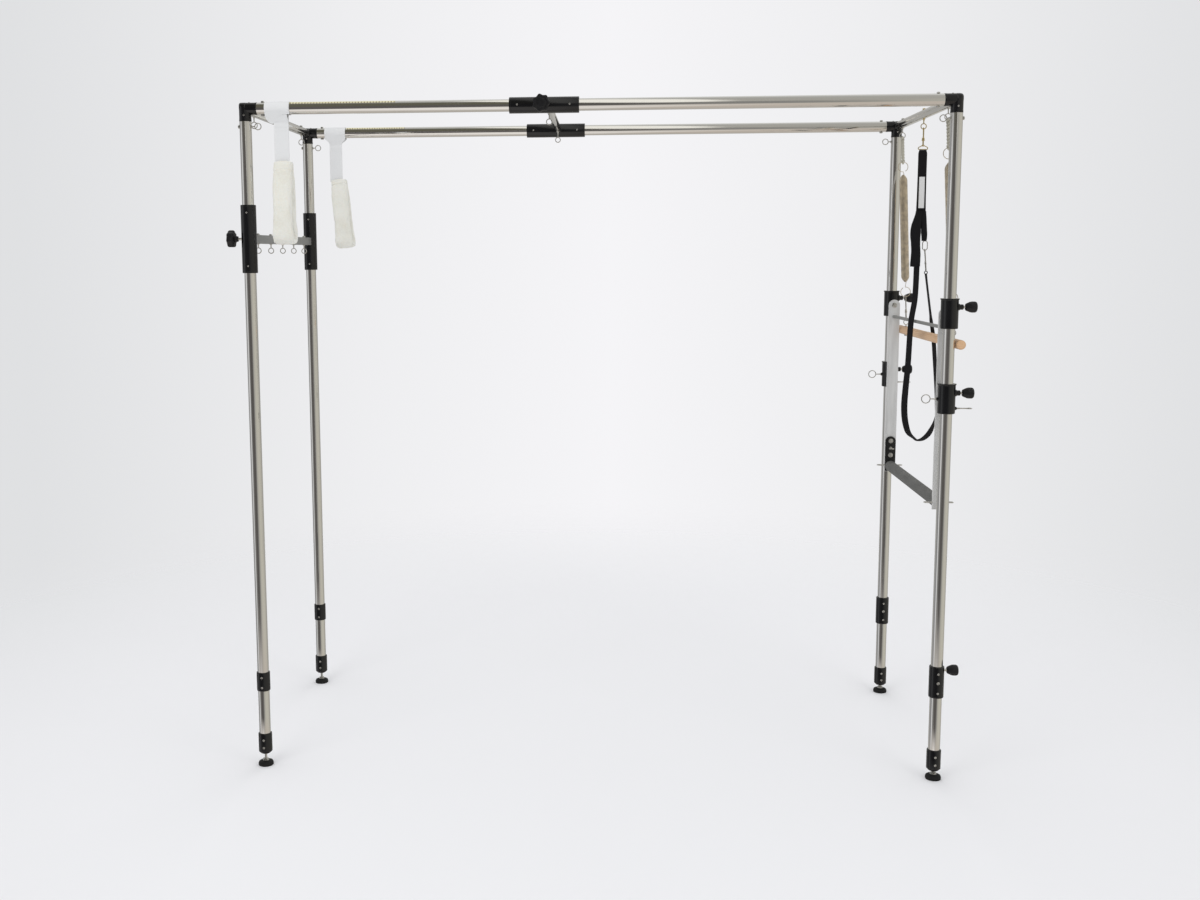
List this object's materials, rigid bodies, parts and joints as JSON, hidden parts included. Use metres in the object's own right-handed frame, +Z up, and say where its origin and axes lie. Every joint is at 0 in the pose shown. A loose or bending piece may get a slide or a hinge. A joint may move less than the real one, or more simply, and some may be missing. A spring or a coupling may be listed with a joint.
{
  "type": "exercise trapeze frame",
  "caption": "Free-standing tube frame over an exercise bed, with sliding crossbars, a hinged push bar, a sprung roll-down bar, a safety strap and padded loops.",
  "frame": {"origin": "on the floor, under the centre of the whole object's box", "axes": "+X along the frame's length towards the push bar's end, +Y across it towards the rear, +Z up"},
  "size_m": [2.502, 0.994, 2.322],
  "materials": {
    "chrome": "polished",
    "black_plastic": "satin",
    "black_rubber": "matte",
    "snap_steel": "satin",
    "grey_paint": "satin",
    "arm_metal": "satin",
    "grip_foam": "matte",
    "brass": "satin",
    "wood": "satin",
    "spring_wire": "satin",
    "black_webbing": "matte",
    "white_webbing": "matte",
    "fleece": "matte"
  },
  "bodies": {
    "frame": {"post_front_left": "chrome", "post_front_right": "chrome", "post_rear_left": "chrome", "post_rear_right": "chrome", "rail_front": "chrome", "rail_rear": "chrome", "end_bar_left": "chrome", "end_bar_right": "chrome", "elbow_front_left": "black_plastic", "coupling_front_left": "black_plastic", "lower_leg_front_left": "chrome", "elbow_front_right": "black_plastic", "coupling_front_right": "black_plastic", "lower_leg_front_right": "chrome", "elbow_rear_left": "black_plastic", "coupling_rear_left": "black_plastic", "lower_leg_rear_left": "chrome", "elbow_rear_right": "black_plastic", "coupling_rear_right": "black_plastic", "lower_leg_rear_right": "chrome"},
    "foot_front_left": {"foot_front_left": "black_rubber"},
    "foot_front_right": {"foot_front_right": "black_rubber"},
    "foot_rear_left": {"foot_rear_left": "black_rubber"},
    "foot_rear_right": {"foot_rear_right": "black_rubber"},
    "mid_slider": {"mid_sleeve_front": "black_plastic", "mid_sleeve_rear": "black_plastic", "mid_crossbar": "chrome"},
    "mid_knob": {"mid_knob": "black_plastic"},
    "left_slider": {"left_sleeve_front": "black_plastic", "left_sleeve_rear": "black_plastic", "left_crossbar": "grey_paint"},
    "left_knob": {"left_knob": "black_plastic"},
    "push_carriage": {"upper_collar_front": "black_plastic", "upper_collar_rear": "black_plastic"},
    "upper_plunger_front": {"upper_plunger_front": "black_plastic"},
    "upper_plunger_rear": {"upper_plunger_rear": "black_plastic"},
    "push_bar": {"push_arm_front": "arm_metal", "grip_bracket_front": "black_plastic", "push_arm_rear": "arm_metal", "grip_bracket_rear": "black_plastic", "push_crossbar": "grey_paint", "push_grip": "grip_foam"},
    "lower_collar_front": {"lower_collar_front": "black_plastic"},
    "lower_plunger_front": {"lower_plunger_front": "black_plastic"},
    "lower_collar_rear": {"lower_collar_rear": "black_plastic"},
    "lower_plunger_rear": {"lower_plunger_rear": "black_plastic"},
    "springs": {"spring_front": "spring_wire", "upper_snap_front": "snap_steel", "spring_rear": "spring_wire", "upper_snap_rear": "snap_steel"},
    "roll_bar": {"roll_bar": "wood", "lower_snap_front": "snap_steel", "lower_snap_rear": "snap_steel"},
    "safety_strap": {"safety_strap": "black_webbing", "strap_snap": "brass"},
    "loop_front": {"loop_strap_front": "white_webbing"},
    "fleece_front": {"fleece_front": "fleece"},
    "loop_rear": {"loop_strap_rear": "white_webbing"},
    "fleece_rear": {"fleece_rear": "fleece"},
    "leg_knob": {"leg_knob": "black_plastic"}
  },
  "joints": [
    {"name": "foot_level_front_left", "type": "slide", "parent": "frame", "child": "foot_front_left", "axis": [0, 0, 1], "range_m": [-0.012, 0.015]},
    {"name": "foot_level_front_right", "type": "slide", "parent": "frame", "child": "foot_front_right", "axis": [0, 0, 1], "range_m": [-0.012, 0.005]},
    {"name": "foot_level_rear_left", "type": "slide", "parent": "frame", "child": "foot_rear_left", "axis": [0, 0, 1], "range_m": [-0.012, 0.015]},
    {"name": "foot_level_rear_right", "type": "slide", "parent": "frame", "child": "foot_rear_right", "axis": [0, 0, 1], "range_m": [-0.012, 0.005]},
    {"name": "mid_slide", "type": "slide", "parent": "frame", "child": "mid_slider", "axis": [1, 0, 0], "range_m": [-0.72, 1.14]},
    {"name": "mid_knob_turn", "type": "hinge", "parent": "mid_slider", "child": "mid_knob", "pos_m": [-0.181, -0.423, 2.293], "axis": [0, -1, 0], "continuous": true},
    {"name": "left_slide", "type": "slide", "parent": "frame", "child": "left_slider", "axis": [0, 0, 1], "range_m": [-1.38, 0.24]},
    {"name": "left_knob_turn", "type": "hinge", "parent": "left_slider", "child": "left_knob", "pos_m": [-1.177, -0.423, 1.861], "axis": [-1, 0, 0], "continuous": true},
    {"name": "push_slide", "type": "slide", "parent": "frame", "child": "push_carriage", "axis": [0, 0, 1], "range_m": [-0.03, 0.25], "deforming": ["safety_strap"]},
    {"name": "push_swing", "type": "hinge", "parent": "push_carriage", "child": "push_bar", "pos_m": [1.163, 0.017, 1.5975], "axis": [0, 1, 0], "range_deg": [0, 120]},
    {"name": "upper_plunger_pull_front", "type": "slide", "parent": "push_carriage", "child": "upper_plunger_front", "axis": [1, 0, 0], "range_m": [0, 0.008], "stiffness_N_per_m": 800, "springref_m": -0.004},
    {"name": "upper_plunger_pull_rear", "type": "slide", "parent": "push_carriage", "child": "upper_plunger_rear", "axis": [1, 0, 0], "range_m": [0, 0.008], "stiffness_N_per_m": 800, "springref_m": -0.004},
    {"name": "lower_collar_slide_front", "type": "slide", "parent": "frame", "child": "lower_collar_front", "axis": [0, 0, -1], "range_m": [-0.1, 0.86]},
    {"name": "lower_plunger_pull_front", "type": "slide", "parent": "lower_collar_front", "child": "lower_plunger_front", "axis": [1, 0, 0], "range_m": [0, 0.008], "stiffness_N_per_m": 800, "springref_m": -0.004},
    {"name": "lower_collar_slide_rear", "type": "slide", "parent": "frame", "child": "lower_collar_rear", "axis": [0, 0, -1], "range_m": [-0.1, 0.86]},
    {"name": "lower_plunger_pull_rear", "type": "slide", "parent": "lower_collar_rear", "child": "lower_plunger_rear", "axis": [1, 0, 0], "range_m": [0, 0.008], "stiffness_N_per_m": 800, "springref_m": -0.004},
    {"name": "roll_swing", "type": "hinge", "parent": "frame", "child": "springs", "pos_m": [1.163, 0.017, 2.249], "axis": [0, 1, 0], "range_deg": [-70, 0]},
    {"name": "roll_pull", "type": "slide", "parent": "springs", "child": "roll_bar", "axis": [0.0537, 0, -0.9986], "range_m": [0, 0.09], "stiffness_N_per_m": 300, "springref_m": -0.03, "deforming": ["spring_front", "spring_rear"]},
    {"name": "strap_swing", "type": "hinge", "parent": "frame", "child": "safety_strap", "pos_m": [1.163, 0.017, 2.24232], "axis": [1, 0, 0], "range_deg": [-15, 15]},
    {"name": "loop_slide_front", "type": "slide", "parent": "frame", "child": "loop_front", "axis": [1, 0, 0], "range_m": [0, 0.7]},
    {"name": "fleece_swing_front", "type": "hinge", "parent": "loop_front", "child": "fleece_front", "pos_m": [-1.052, -0.423, 2.1127], "axis": [1, 0, 0], "range_deg": [-60, 60]},
    {"name": "loop_slide_rear", "type": "slide", "parent": "frame", "child": "loop_rear", "axis": [1, 0, 0], "range_m": [0, 0.7]},
    {"name": "fleece_swing_rear", "type": "hinge", "parent": "loop_rear", "child": "fleece_rear", "pos_m": [-1.05228, 0.457, 2.10335], "axis": [0.9962, 0, 0.0872], "range_deg": [-60, 60]},
    {"name": "leg_knob_turn", "type": "hinge", "parent": "frame", "child": "leg_knob", "pos_m": [1.163, -0.423, 0.388], "axis": [1, 0, 0], "continuous": true}
  ]
}
